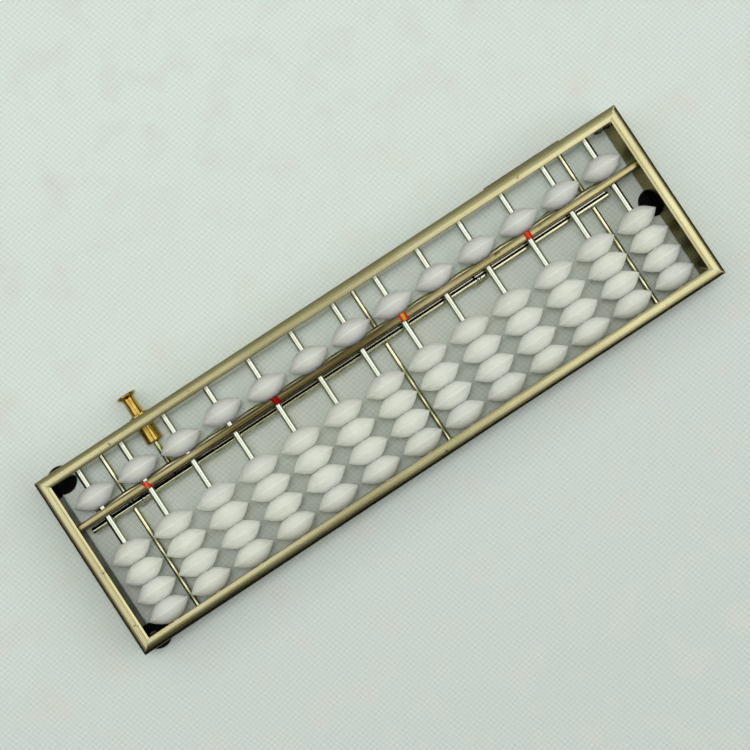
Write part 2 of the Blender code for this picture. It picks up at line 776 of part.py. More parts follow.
earthWay = lowerBarY - barToBead() - topEarthY
print(f"button stroke {1000 * stroke:.3f} mm, stacks' way {1000 * earthWay:.3f} mm")
print(f"lever turn {degrees(leverPressed - leverRest):.3f} degrees")
print(f"button axis at {1000 * (buttonX - middle.x):.3f}, z {1000 * buttonZ:.3f} mm")
print(f"pivots at x {1000 * (leftPivotX - middle.x):.3f} and {1000 * (rightPivotX - middle.x):.3f} mm")
print(f"pivots at y {1000 * (pivotY - middle.y):.3f} mm, middle {1000 * middle.x:.3f}, {1000 * middle.y:.3f} mm")
print("heaven beads' ways", [round(1000 * (HEAVEN_FREE - o - STOP_GAP), 3) for o in heavenOffsets])
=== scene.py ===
import random
from math import atan2, cos, pi, radians, sin

import bmesh
import bpy
from mathutils import Matrix, Quaternion, Vector


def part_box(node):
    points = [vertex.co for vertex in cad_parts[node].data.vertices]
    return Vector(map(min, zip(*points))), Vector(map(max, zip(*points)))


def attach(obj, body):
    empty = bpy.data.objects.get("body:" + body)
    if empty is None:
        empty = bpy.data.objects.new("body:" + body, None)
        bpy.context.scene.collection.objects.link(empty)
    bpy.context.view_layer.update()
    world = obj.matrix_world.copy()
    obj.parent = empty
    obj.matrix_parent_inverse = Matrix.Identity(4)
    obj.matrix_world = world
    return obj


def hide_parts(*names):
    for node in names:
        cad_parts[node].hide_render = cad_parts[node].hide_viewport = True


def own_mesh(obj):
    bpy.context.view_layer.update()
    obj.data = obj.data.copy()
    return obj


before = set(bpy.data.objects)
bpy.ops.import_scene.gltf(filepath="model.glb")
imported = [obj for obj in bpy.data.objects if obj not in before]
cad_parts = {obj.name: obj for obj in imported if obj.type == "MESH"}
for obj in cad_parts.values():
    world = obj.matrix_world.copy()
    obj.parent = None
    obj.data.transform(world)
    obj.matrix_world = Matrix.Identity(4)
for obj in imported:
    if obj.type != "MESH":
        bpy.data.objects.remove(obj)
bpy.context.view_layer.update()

scene = bpy.context.scene
scene.view_settings.view_transform = "Standard"

# Pieces are shaped in millimetres from the middle of the metal frame, with heights
# from the table, and finishPiece moves them into the row's metres.
lowSide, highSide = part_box("left_rail")[0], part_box("right_rail")[1]
frameMiddle = Vector(((lowSide.x + highSide.x) / 2, (lowSide.y + highSide.y) / 2, 0.0))
toRow = Matrix.Translation(frameMiddle) @ Matrix.Scale(0.001, 4)
alongY = Matrix.Rotation(pi / 2, 4, "X")
alongX = Matrix.Rotation(pi / 2, 4, "Y")
columns = [f"{number:02d}" for number in range(1, 14)]
random.seed(13)


def nodeBox(node):
    low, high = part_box(node)
    return (low - frameMiddle) * 1000, (high - frameMiddle) * 1000


# Camera: nearly straight above, as the photograph was taken
view = {
    "place": (-0.02975, -0.02324, 0.65643),
    "turn": (0.04559, -0.03291, -0.58151),  # axis times angle
    "lens": 111.62,
    "sensor": 36.0,
}
cameraData = bpy.data.cameras.new("camera")
cameraData.lens = view["lens"]
cameraData.sensor_width = view["sensor"]
cameraData.clip_start = 0.01
cameraData.clip_end = 50.0
camera = bpy.data.objects.new("camera", cameraData)
turn = Vector(view["turn"])
camera.rotation_mode = "QUATERNION"
camera.rotation_quaternion = Quaternion(turn.normalized(), turn.length)
camera.location = view["place"]
scene.collection.objects.link(camera)
scene.camera = camera
print("camera placed")


# Shader helpers
def shade(red, green, blue):
    def linear(level):
        level /= 255.0
        return level / 12.92 if level <= 0.04045 else ((level + 0.055) / 1.055) ** 2.4

    return (linear(red), linear(green), linear(blue), 1.0)


def addNode(tree, kind, inputs=None, **settings):
    node = tree.nodes.new("ShaderNode" + kind)
    for key, value in settings.items():
        setattr(node, key, value)
    for key, value in (inputs or {}).items():
        if isinstance(value, bpy.types.NodeSocket):
            tree.links.new(value, node.inputs[key])
        else:
            node.inputs[key].default_value = value
    return node


def addRamp(tree, factor, stops):
    ramp = addNode(tree, "ValToRGB", {"Fac": factor})
    elements = ramp.color_ramp.elements
    while len(elements) < len(stops):
        elements.new(0.5)
    for element, (position, colour) in zip(elements, stops):
        element.position = position
        element.color = colour
    return ramp.outputs["Color"]


def addRange(tree, value, low, high, newLow, newHigh):
    inputs = {"Value": value, "From Min": low, "From Max": high, "To Min": newLow, "To Max": newHigh}
    return addNode(tree, "MapRange", inputs).outputs["Result"]


def addMix(tree, factor, first, second, blend="MIX"):
    node = tree.nodes.new("ShaderNodeMix")
    node.data_type = "RGBA"
    node.blend_type = blend
    for index, value in ((0, factor), (6, first), (7, second)):
        if isinstance(value, bpy.types.NodeSocket):
            tree.links.new(value, node.inputs[index])
        else:
            node.inputs[index].default_value = value
    return node.outputs[2]


def newMaterial(name, surface):
    material = bpy.data.materials.new(name)
    material.use_nodes = True
    tree = material.node_tree
    shader = tree.nodes["Principled BSDF"]
    for key, value in surface.items():
        shader.inputs[key].default_value = value
    return material, tree, shader


def addMath(tree, operation, *values):
    return addNode(tree, "Math", dict(enumerate(values)), operation=operation).outputs[0]


def multiplyBy(tree, colour, tone):
    grey = addNode(tree, "CombineColor", {"Red": tone, "Green": tone, "Blue": tone}).outputs["Color"]
    return addMix(tree, 1.0, colour, grey, "MULTIPLY")


def objectPlace(tree, scale=(1, 1, 1), shift=(0, 0, 0)):
    place = addNode(tree, "TexCoord").outputs["Object"]
    inputs = {"Vector": place, "Location": shift, "Scale": scale}
    return addNode(tree, "Mapping", inputs).outputs["Vector"]


def placeAxes(tree, shift=(0, 0, 0)):
    return addNode(tree, "SeparateXYZ", {"Vector": objectPlace(tree, shift=shift)}).outputs


def addNoise(tree, scale=(1, 1, 1), fineness=1.0, detail=3.0, roughness=0.5, shift=(0, 0, 0)):
    inputs = {
        "Vector": objectPlace(tree, scale, shift),
        "Scale": fineness,
        "Detail": detail,
        "Roughness": roughness,
    }
    return addNode(tree, "TexNoise", inputs).outputs["Fac"]


def addBump(tree, shader, height, distance):
    bump = addNode(tree, "Bump", {"Height": height, "Distance": distance, "Strength": 1.0})
    tree.links.new(bump.outputs["Normal"], shader.inputs["Normal"])


# Materials, with their lengths in metres
railFinish = {
    "light": shade(198, 192, 150),
    "dark": shade(180, 173, 130),
    "patches": 55.0,  # fineness of the light and dark patches
    "speck": shade(92, 66, 36),
    "specks": 420.0,
    "valley": 0.95,  # tone between the brush lines, then on them
    "ridge": 1.05,
    "streakLength": 0.012,
    "streakWidth": 0.00022,
    "smooth": 0.24,
    "rough": 0.31,
    "wall": 0.8,  # painted shade: the upright walls are painted darker than the crown, and they are smoother
    "wallPolish": 0.4,
    "wallTop": (0.0179, 0.0182),
    "grazingPaintedShade": (0.8, 0.8, 0.8, 1.0),  # painted shade on the walls' reflections when seen edge on
    "relief": 0.000002,
    "wave": 0.00001,
    "waves": (140.0, 45.0),  # fineness of the slow waves, across and along
}


def crownShare(tree, finish, place):
    # 1 on the crown and on an outer wall, 0 on the other walls
    crown = addRange(tree, place["Z"], *finish["wallTop"], 0.0, 1.0)
    if "outerWall" not in finish:
        return crown
    away = addMath(tree, "ABSOLUTE", addMath(tree, "ADD", place["X"], -frameMiddle.x))
    outer = addRange(tree, away, *finish["outerWall"], 0.0, 1.0)
    below = addRange(tree, place["Z"], *finish["outerTop"], 1.0, 0.0)
    return addMath(tree, "MAXIMUM", crown, addMath(tree, "MULTIPLY", outer, below))


def agedColour(tree, finish, place, body):
    # dark streaks where the gilding is worn
    start, full, fade, end = finish["agedSpan"]
    there = addRange(tree, place["X"], start, full, 0.0, 1.0)
    gone = addRange(tree, place["X"], fade, end, 1.0, 0.0)
    stripes = addNoise(tree, finish["agedStripes"], detail=3.0, shift=(2.0, 0.0, 0.0))
    stripes = addRange(tree, stripes, 0.35, 0.65, 0.55, 1.0)
    share = addMath(tree, "MULTIPLY", addMath(tree, "MULTIPLY", there, gone), stripes)
    return addMix(tree, share, body, finish["aged"])


def brushedMetal(name, finish, alongAxis):
    material, tree, shader = newMaterial(name, {"Metallic": 1.0})

    def stretched(across, along):
        scale = [across, across, across]
        scale["XYZ".index(alongAxis)] = along
        return scale

    streaks = addNoise(tree, stretched(1 / finish["streakWidth"], 1 / finish["streakLength"]), detail=2.0)
    patches = addNoise(tree, fineness=finish["patches"], detail=4.0, roughness=0.6)
    specks = addNoise(tree, fineness=finish["specks"], detail=2.0, shift=(0.3, 0.1, 0.0))
    body = addMix(tree, addRange(tree, patches, 0.3, 0.7, 0.0, 1.0), finish["light"], finish["dark"])
    body = multiplyBy(tree, body, addRange(tree, streaks, 0.25, 0.75, finish["valley"], finish["ridge"]))
    body = addMix(tree, addRange(tree, specks, 0.71, 0.76, 0.0, 0.7), body, finish["speck"])
    place = placeAxes(tree)
    if "aged" in finish:
        body = agedColour(tree, finish, place, body)
    crown = crownShare(tree, finish, place)
    # painted shade: the walls' colour is darkened by the wall share and their reflections by the grazing tint
    body = multiplyBy(tree, body, addRange(tree, crown, 0.0, 1.0, finish["wall"], 1.0))
    tree.links.new(body, shader.inputs["Base Color"])
    tint = addMix(tree, crown, finish["grazingPaintedShade"], (1.0, 1.0, 1.0, 1.0))
    tree.links.new(tint, shader.inputs["Specular Tint"])
    rough = addRange(tree, streaks, 0.2, 0.8, finish["smooth"], finish["rough"])
    polish = addRange(tree, crown, 0.0, 1.0, finish["wallPolish"], 1.0)
    tree.links.new(addMath(tree, "MULTIPLY", rough, polish), shader.inputs["Roughness"])
    waves = addNoise(tree, stretched(*finish["waves"]), detail=1.0)
    height = addMath(tree, "MULTIPLY_ADD", streaks, finish["relief"] / finish["wave"], waves)
    addBump(tree, shader, height, finish["wave"])
    return material


sideFinish = {
    **railFinish,
    # painted shade: the side rails' inner walls are painted darker still
    "wall": 0.15,
    "outerWall": (0.0938, 0.094),  # from here out along X, and below outerTop, as light as the crown, without the painted shade
    "outerTop": (0.0175, 0.0176),
}
beamFinish = {
    **railFinish,
    "light": shade(196, 186, 142),
    "dark": shade(164, 153, 106),
    "valley": 0.86,
    "rough": 0.36,
    # painted shade: the beam's walls and their reflections are painted nearly black
    "wall": 0.1,
    "wallTop": (0.0144, 0.0148),
    "grazingPaintedShade": (0.05, 0.05, 0.05, 1.0),
    "aged": shade(84, 72, 34),
    "agedSpan": (-0.056, -0.042, 0.004, 0.03),  # fades in, then out again, along X
    "agedStripes": (18.0, 2600.0, 2600.0),
}
railAlongX = brushedMetal("rail_metal_along_x", railFinish, "X")
# the side rails differ only in the painted shade on their walls' reflections, darker on the left
railLeft = brushedMetal("rail_metal_left", {**sideFinish, "grazingPaintedShade": (0.12, 0.12, 0.1, 1.0)}, "Y")
railRight = brushedMetal("rail_metal_right", {**sideFinish, "grazingPaintedShade": (0.72, 0.66, 0.42, 1.0)}, "Y")
beamMetal = brushedMetal("beam_metal", beamFinish, "X")

chromeFinish = {
    "colour": shade(200, 205, 192),
    "tarnish": shade(180, 182, 158),
    "patches": 240.0,
    "smooth": 0.04,
    "rough": 0.09,
    "dents": 500.0,
    "relief": 0.000002,
}
chrome, tree, shader = newMaterial("rod_chrome", {"Metallic": 1.0})
patches = addNoise(tree, (1.0, 0.35, 1.0), chromeFinish["patches"], detail=3.0)
worn = addRange(tree, patches, 0.45, 0.8, 0.0, 0.7)
colour = addMix(tree, worn, chromeFinish["colour"], chromeFinish["tarnish"])
tree.links.new(colour, shader.inputs["Base Color"])
rough = addRange(tree, patches, 0.3, 0.8, chromeFinish["smooth"], chromeFinish["rough"])
tree.links.new(rough, shader.inputs["Roughness"])
dents = addNoise(tree, (1.0, 0.1, 1.0), chromeFinish["dents"], detail=1.0)
addBump(tree, shader, dents, chromeFinish["relief"])


def goldMetal(name, light, dark, smooth, rough, grain, fineness=1.0, relief=0.000006):
    material, tree, shader = newMaterial(name, {"Metallic": 1.0})
    streaks = addNoise(tree, grain, fineness, detail=3.0, roughness=0.6)
    colour = addMix(tree, addRange(tree, streaks, 0.3, 0.72, 0.0, 1.0), light, dark)
    tree.links.new(colour, shader.inputs["Base Color"])
    tree.links.new(addRange(tree, streaks, 0.3, 0.75, smooth, rough), shader.inputs["Roughness"])
    addBump(tree, shader, streaks, relief)
    return material


def recolour(material, makeColour):
    # puts what makeColour adds between the material's own colour and its shader
    tree = material.node_tree
    socket = tree.nodes["Principled BSDF"].inputs["Base Color"]
    tree.links.new(makeColour(tree, socket.links[0].from_socket), socket)


barPaintedReflections = {"dark": shade(34, 30, 20), "tinted": (-0.04, 0.03)}  # painted reflections on the bars: a dark side, and a tint that fades out along X
# painted shade on the guide wires' sides
wirePaintedShade = {"edge": shade(128, 120, 62), "shadeSpan": (0.5, 0.85)}


def paintBarReflections(material, low, high, leftPaintedReflection):
    # painted reflection: dark from Y at low to Y at high and beyond, and tinted towards -X
    def makeColour(tree, colour):
        place = placeAxes(tree)
        left = addRange(tree, place["X"], *barPaintedReflections["tinted"], 1.0, 0.0)
        tinted = addMix(tree, left, colour, leftPaintedReflection)
        return addMix(tree, addRange(tree, place["Y"], low, high, 0.0, 1.0), tinted, barPaintedReflections["dark"])

    recolour(material, makeColour)


def paintedEdgeShade(tree, colour):
    # painted shade on a wire's sides; the flank attribute runs from a wire's middle to its sides
    flank = addNode(tree, "Attribute", attribute_name="flank").outputs["Fac"]
    return addMix(tree, addRange(tree, flank, *wirePaintedShade["shadeSpan"], 0.0, 1.0), colour, wirePaintedShade["edge"])


wireGold = goldMetal(
    "guide_wire_gold", shade(236, 234, 204), shade(208, 204, 158),
    smooth=0.08, rough=0.18, grain=(300, 60, 300), relief=0.000002,
)
recolour(wireGold, paintedEdgeShade)
upperBarGold = goldMetal(
    "upper_bar_gold", shade(226, 222, 190), shade(208, 202, 162),
    smooth=0.1, rough=0.18, grain=(60, 300, 300), relief=0.000001,
)
lowerBarGold = goldMetal(
    "lower_bar_gold", shade(210, 209, 178), shade(192, 189, 152),
    smooth=0.14, rough=0.22, grain=(60, 300, 300), relief=0.000001,
)
brass = goldMetal(
    "button_brass", shade(196, 170, 88), shade(146, 108, 36),
    smooth=0.06, rough=0.16, grain=(900, 260, 900), fineness=1.2,
)
leverPlate = goldMetal(
    "lever_plate", shade(160, 158, 134), shade(128, 124, 96),
    smooth=0.25, rough=0.45, grain=(140, 900, 900),
)
plainSteel = goldMetal(
    "plain_steel", shade(184, 180, 160), shade(120, 114, 92),
    smooth=0.2, rough=0.42, grain=(700, 700, 700),
)
plungerGold = goldMetal(
    "plunger_gold", shade(196, 192, 144), shade(160, 154, 104),
    smooth=0.1, rough=0.22, grain=(900, 160, 900),
)
plateMetal = goldMetal(
    "name_plate_metal", shade(122, 108, 74), shade(70, 56, 34),
    smooth=0.3, rough=0.45, grain=(40, 900, 900),
)
stripMetal = goldMetal(
    "beam_strip_metal", shade(206, 202, 182), shade(184, 178, 154),
    smooth=0.18, rough=0.28, grain=(60, 300, 300),
)
solder = goldMetal(
    "solder", shade(226, 218, 190), shade(164, 152, 116),
    smooth=0.25, rough=0.55, grain=(1500, 1500, 1500), relief=0.00003,
)
solder.node_tree.nodes["Principled BSDF"].inputs["Metallic"].default_value = 0.5

deckBorder = (0.009, 0.013)  # where the painted light on the upper deck's beads and cloth fades in, along Y from the middle
beadFinish = {
    "warm": shade(224, 230, 212),
    "cool": shade(220, 226, 213),
    "tints": 48.0,
    "cloud": shade(214, 214, 206),
    "clouds": 420.0,
    "roughness": 0.6,
    "depth": 0.013,  # how far light gets into the plastic
    "sheen": 0.3,
    # painted shade on the ridge and painted light on the flanks
    "ridgePaintedShade": 0.9,
    "flankPaintedLight": 1.05,
    "upperBeadsPaintedLight": 1.07,  # painted light on the upper deck's beads
    "dents": 700.0,
    "relief": 0.00002,
}
surface = {
    "Roughness": beadFinish["roughness"],
    "IOR": 1.49,
    "Subsurface Weight": 1.0,
    "Subsurface Radius": (1.0, 1.0, 0.9),
    "Subsurface Scale": beadFinish["depth"],
    "Sheen Weight": beadFinish["sheen"],
    "Sheen Roughness": 0.6,
}
beadPlastic, tree, shader = newMaterial("bead_plastic", surface)
tints = addNoise(tree, fineness=beadFinish["tints"], detail=1.0)
clouds = addNoise(tree, fineness=beadFinish["clouds"], detail=3.0)
tint = addMix(tree, addRange(tree, tints, 0.35, 0.65, 0.0, 1.0), beadFinish["warm"], beadFinish["cool"])
tint = addMix(tree, addRange(tree, clouds, 0.3, 0.75, 0.0, 0.25), tint, beadFinish["cloud"])
# painted shade on the ridge, painted light on the flanks and on the upper deck's beads
flank = addNode(tree, "Attribute", attribute_name="flank").outputs["Fac"]
tone = addRange(tree, flank, 0.0, 0.6, beadFinish["ridgePaintedShade"], beadFinish["flankPaintedLight"])
along = placeAxes(tree, tuple(-frameMiddle))["Y"]
upper = addRange(tree, along, *deckBorder, 1.0, beadFinish["upperBeadsPaintedLight"])
tint = multiplyBy(tree, tint, addMath(tree, "MULTIPLY", tone, upper))
tree.links.new(tint, shader.inputs["Base Color"])
addBump(tree, shader, addNoise(tree, fineness=beadFinish["dents"], detail=2.0), beadFinish["relief"])


def lumpySkin(name, surface, low, high, fineness, relief):
    material, tree, shader = newMaterial(name, surface)
    lumps = addNoise(tree, fineness=fineness, detail=3.0)
    tree.links.new(addRamp(tree, lumps, [(0.3, low), (0.8, high)]), shader.inputs["Base Color"])
    addBump(tree, shader, lumps, relief)
    return material


rubber = lumpySkin(
    "foot_rubber", {"Roughness": 0.62, "Specular IOR Level": 0.12},
    shade(2, 2, 2), shade(10, 10, 9), fineness=3200.0, relief=0.00004,
)
lacquerAndShadowBlack = lumpySkin(
    "clip_lacquer_and_shadow_black", {"Roughness": 0.22},
    shade(12, 12, 10), shade(36, 32, 26), fineness=1400.0, relief=0.00008,
)
paintWear = {
    "fineness": 1700.0,
    "ragged": 0.0009,
    "edge": (0.0006, 0.00105),  # from the inner colour to the outer, from the mark's middle
    "relief": 0.00003,
}


def markPaint(name, inner, outer, centreX):
    material, tree, shader = newMaterial(name, {"Roughness": 0.6, "Specular IOR Level": 0.12})
    away = addMath(tree, "ABSOLUTE", placeAxes(tree, (-centreX, 0.0, 0.0))["X"])
    wear = addNoise(tree, fineness=paintWear["fineness"], detail=4.0, roughness=0.7)
    edge = addMath(tree, "MULTIPLY_ADD", wear, paintWear["ragged"], away)
    colour = addMix(tree, addRange(tree, edge, *paintWear["edge"], 0.0, 1.0), inner, outer)
    tree.links.new(colour, shader.inputs["Base Color"])
    addBump(tree, shader, wear, paintWear["relief"])
    return material


floorFinish = {
    "near": shade(196, 205, 201),  # painted shade: the cloth is painted darker towards -Y
    "far": shade(210, 220, 215),
    "span": (-0.11, 0.11),
    "blush": shade(205, 208, 202),
    "threads": ((177.0, -794.0), (769.0, 266.0)),  # turns per metre along X and Y
    "wander": 5.0,  # how much noise bends the threads, in radians
    "bends": 260.0,  # fineness of that noise, then of the patches with clear dots and of the blush
    "patches": 330.0,
    "clouds": 90.0,
    "dots": 1.6,
    "contrast": 0.1,
    "opening": {"X": (0.0925, 0.095), "Y": (0.025, 0.0275)},  # where the painted deck shade and light fade out at the frame's inside
    "lowerDeckPaintedShade": (0.985, 0.955, 0.9, 1.0),  # painted shade: the cloth under the lower deck is painted darker and yellower
    # painted light: the cloth under the upper deck is painted lighter
    "upperDeckPaintedLight": (1.17, 1.17, 1.14, 1.0),
}
floorCloth, tree, shader = newMaterial("floor_cloth", {"Roughness": 0.85, "Specular IOR Level": 0.2})
wander = addNoise(tree, fineness=floorFinish["bends"], detail=2.0)
waves = []
for along, across in floorFinish["threads"]:
    inputs = {0: objectPlace(tree), 1: (2 * pi * along, 2 * pi * across, 0.0)}
    phase = addNode(tree, "VectorMath", inputs, operation="DOT_PRODUCT").outputs["Value"]
    waves.append(addMath(tree, "COSINE", addMath(tree, "MULTIPLY_ADD", wander, floorFinish["wander"], phase)))
patchy = addNoise(tree, fineness=floorFinish["patches"], detail=3.0)
patchy = addRange(tree, patchy, 0.3, 0.7, 0.15, 1.0)
lift = addMath(tree, "MULTIPLY", addMath(tree, "ADD", *waves), patchy)
# painted shade: the cloth darker towards -Y
across = addRange(tree, placeAxes(tree)["Y"], *floorFinish["span"], 0.0, 1.0)
base = addMix(tree, across, floorFinish["near"], floorFinish["far"])
clouds = addNoise(tree, fineness=floorFinish["clouds"], detail=3.0)
base = addMix(tree, addRange(tree, clouds, 0.5, 0.75, 0.0, 0.8), base, floorFinish["blush"])
low, high = 1 - floorFinish["contrast"], 1 + floorFinish["contrast"]
base = multiplyBy(tree, base, addRange(tree, lift, floorFinish["dots"], -floorFinish["dots"], low, high))
centred = placeAxes(tree, tuple(-frameMiddle))
shares = []
for axis, (start, end) in floorFinish["opening"].items():
    shares.append(addRange(tree, addMath(tree, "ABSOLUTE", centred[axis]), start, end, 1.0, 0.0))
# painted shade and light on the cloth inside the frame, by deck
upper = addRange(tree, centred["Y"], *deckBorder, 0.0, 1.0)
deckPaintedLight = addMix(tree, upper, floorFinish["lowerDeckPaintedShade"], floorFinish["upperDeckPaintedLight"])
paintedDeckCloth = addMix(tree, 1.0, base, deckPaintedLight, "MULTIPLY")
inside = addMath(tree, "MULTIPLY", *shares)
tree.links.new(addMix(tree, inside, base, paintedDeckCloth), shader.inputs["Base Color"])
print("materials mixed")


# Mesh helpers
weld = 0.0005  # points closer than this are merged


def finishPiece(bm, name, body, material, nodes=(), crease=32.0, flats=False):
    bmesh.ops.remove_doubles(bm, verts=bm.verts, dist=weld)
    bmesh.ops.recalc_face_normals(bm, faces=bm.faces)
    bm.transform(toRow)
    for face in bm.faces:
        face.smooth = True
    for edge in bm.edges:
        edge.smooth = edge.calc_face_angle(0.0) < radians(crease)
    mesh = bpy.data.meshes.new(name)
    bm.to_mesh(mesh)
    bm.free()
    piece = bpy.data.objects.new(name, mesh)
    scene.collection.objects.link(piece)
    mesh.materials.append(material)
    if flats:
        piece.modifiers.new("flats", "WEIGHTED_NORMAL").keep_sharp = True
    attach(piece, body)
    if nodes:
        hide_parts(*nodes)
    return piece


def addCylinder(bm, radius, low, high, turnTo=None, sides=40, rim=0.0):
    middle = (Vector(low) + Vector(high)) / 2
    depth = (Vector(high) - Vector(low)).length
    matrix = Matrix.Translation(middle)
    if turnTo is not None:
        matrix = matrix @ turnTo
    made = bmesh.ops.create_cone(
        bm, cap_ends=True, segments=sides, radius1=radius, radius2=radius, depth=depth, matrix=matrix
    )
    if rim:
        rims = {edge for vert in made["verts"] for edge in vert.link_edges if len(edge.link_faces) == 2}
        rims = [edge for edge in rims if any(len(face.verts) > 4 for face in edge.link_faces)]
        bmesh.ops.bevel(
            bm, geom=rims, offset=rim, segments=3, affect="EDGES", profile=0.5, material=-1
        )


def turnProfile(bm, profile, centre, axis, steps, closed=False):
    # the profile is (radius, distance along the axis), turned once round
    across = Vector((1.0, 0.0, 0.0))
    axis = Vector(axis)
    verts = [bm.verts.new(Vector(centre) + across * radius + axis * along) for radius, along in profile]
    pairs = list(zip(verts, verts[1:])) + ([(verts[-1], verts[0])] if closed else [])
    edges = [bm.edges.new(pair) for pair in pairs]
    bmesh.ops.spin(
        bm, geom=verts + edges, cent=centre, axis=axis, angle=2 * pi, steps=steps, use_merge=True
    )
    bmesh.ops.remove_doubles(bm, verts=bm.verts, dist=weld)


def arcPoints(centre, radius, start, end, steps):
    turns = [start + (end - start) * step / steps for step in range(steps + 1)]
    return [(centre[0] + radius * cos(turn), centre[1] + radius * sin(turn)) for turn in turns]


def runSection(bm, points, length):
    # points are (y, z); the section is closed and runs along X through the middle
    verts = [bm.verts.new((-length / 2, y, z)) for y, z in points]
    section = bm.faces.new(verts)
    made = bmesh.ops.extrude_face_region(bm, geom=[section])
    moved = [item for item in made["geom"] if isinstance(item, bmesh.types.BMVert)]
    bmesh.ops.translate(bm, verts=moved, vec=(length, 0.0, 0.0))


def tubeMesh(points, radius, resolution=6):
    # points are (x, y, z) or (x, y, z, share of the radius)
    curve = bpy.data.curves.new("path", "CURVE")
    curve.dimensions = "3D"
    curve.bevel_depth = radius
    curve.bevel_resolution = resolution
    curve.use_fill_caps = True
    spline = curve.splines.new("POLY")
    spline.points.add(len(points) - 1)
    for point, place in zip(spline.points, points):
        point.co = (*place[:3], 1.0)
        point.radius = place[3] if len(place) > 3 else 1.0
    holder = bpy.data.objects.new("path", curve)
    mesh = bpy.data.meshes.new_from_object(holder)
    bm = bmesh.new()
    bm.from_mesh(mesh)
    bpy.data.objects.remove(holder)
    bpy.data.curves.remove(curve)
    bpy.data.meshes.remove(mesh)
    return bm


cornerCut = 0.3  # a rounding's middle point, as a share of its size

# Rails: a channel with a crowned top, mitred at the corners
rail = {
    "width": 3.5,
    "wall": 0.8,
    "apex": 2.35,  # from the outer side
    "fall": 0.165,  # the crown drops by this times the square of the way from its apex
    "corner": 0.08,
    "ceiling": (0.7, 0.2),  # extra thickness over the hollow, at its outer and inner sides
    "steps": 18,
    "mitreGap": 0.1,
}
outerX = nodeBox("right_rail")[1].x
topLow, topHigh = nodeBox("top_rail")
outerY, railBottom, railTop = topHigh.y, topLow.z, topHigh.z


def crownHeight(depth):
    return railTop - rail["fall"] * (depth - rail["apex"]) ** 2


def crownPoints():
    corner, width = rail["corner"], rail["width"]
    cut = corner * cornerCut
    points = [(0.0, crownHeight(0.0) - corner), (cut, crownHeight(0.0) - cut)]
    for step in range(rail["steps"] + 1):
        depth = corner + (width - 2 * corner) * step / rail["steps"]
        points.append((depth, crownHeight(depth)))
    return points + [(width - cut, crownHeight(width) - cut), (width, crownHeight(width) - corner)]


def cutHole(bm, radius, start, end):
    # a round hole along Y, from start to end
    cutter = bmesh.new()
    addCylinder(cutter, radius, start, end, alongY, sides=48)
    holders = []
    for shape in (bm, cutter):
        mesh = bpy.data.meshes.new("cut")
        shape.to_mesh(mesh)
        shape.free()
        holders.append(bpy.data.objects.new("cut", mesh))
        scene.collection.objects.link(holders[-1])
    holders[0].modifiers.new("hole", "BOOLEAN").object = holders[1]
    cut = bpy.data.meshes.new_from_object(holders[0].evaluated_get(bpy.context.evaluated_depsgraph_get()))
    bored = bmesh.new()
    bored.from_mesh(cut)
    bpy.data.meshes.remove(cut)
    for holder in holders:
        bpy.data.meshes.remove(holder.data)
    return bored


def makeRail(name, node, halfLength, outer, turned, material, hole=None):
    width, wall = rail["width"], rail["wall"]
    outerCeiling, innerCeiling = (railTop - wall - extra for extra in rail["ceiling"])
    section = crownPoints() + [
        (width, railBottom),
        (width - wall, railBottom),
        (width - wall, innerCeiling),
        (wall, outerCeiling),
        (wall, railBottom),
        (0.0, railBottom),
    ]
    bm = bmesh.new()
    runSection(bm, [(depth - outer, height) for depth, height in section], 2 * halfLength)
    for vert in bm.verts:
        reach = halfLength - (vert.co.y + outer) - rail["mitreGap"] / 2
        vert.co.x = reach if vert.co.x > 0 else -reach
    bmesh.ops.rotate(bm, verts=bm.verts, cent=(0, 0, 0), matrix=Matrix.Rotation(turned, 3, "Z"))
    if hole:
        bm = cutHole(bm, *hole)
    finishPiece(bm, name, "frame", material, [node], crease=28.0, flats=True)


makeRail("lower_rail", "bottom_rail", outerX, outerY, 0.0, railAlongX)
bushSeat = {"radius": 2.52, "inside": 6.0, "outside": 1.0}  # the hole's ends, from the rail's outer side
axisX, axisZ = (sum(side) / 2 for side in zip(*[(corner.x, corner.z) for corner in nodeBox("button")]))
seatStart = (axisX, outerY - bushSeat["inside"], axisZ)
seatEnd = (axisX, outerY + bushSeat["outside"], axisZ)
bushHole = (bushSeat["radius"], seatStart, seatEnd)
makeRail("upper_rail", "top_rail", outerX, outerY, pi, railAlongX, bushHole)
makeRail("right_side_rail", "right_rail", outerY, outerX, pi / 2, railRight)
makeRail("left_side_rail", "left_rail", outerY, outerX, -pi / 2, railLeft)
print("rails formed")

# Beam between the decks
beam = {"rise": 0.7, "fullness": 2.3, "steps": 10, "lowerEdge": 0.2}
beamLow, beamHigh = nodeBox("beam")


def beamSection(grow=0.0, bottom=None):
    near, far, top = beamLow.y - grow, beamHigh.y + grow, beamHigh.z + grow
    centre, reach, points = (near + far) / 2, (far - near) / 2, []
    for step in range(2 * beam["steps"] + 1):
        turn = pi * step / (2 * beam["steps"])
        across = -cos(turn) if step != beam["steps"] else 0.0
        out = abs(across) ** (2 / beam["fullness"])
        height = max(sin(turn), 0.0) ** (2 / beam["fullness"])
        points.append((centre + (out if across > 0 else -out) * reach, top + beam["rise"] * (height - 1)))
    base = beamLow.z if bottom is None else bottom
    edge = beam["lowerEdge"]
    return points + [(far, base + edge), (far - edge, base), (near + edge, base), (near, base + edge)]


bm = bmesh.new()
runSection(bm, beamSection(), beamHigh.x - beamLow.x)
finishPiece(bm, "cross_beam", "frame", beamMetal, ["beam"], crease=28.0, flats=True)

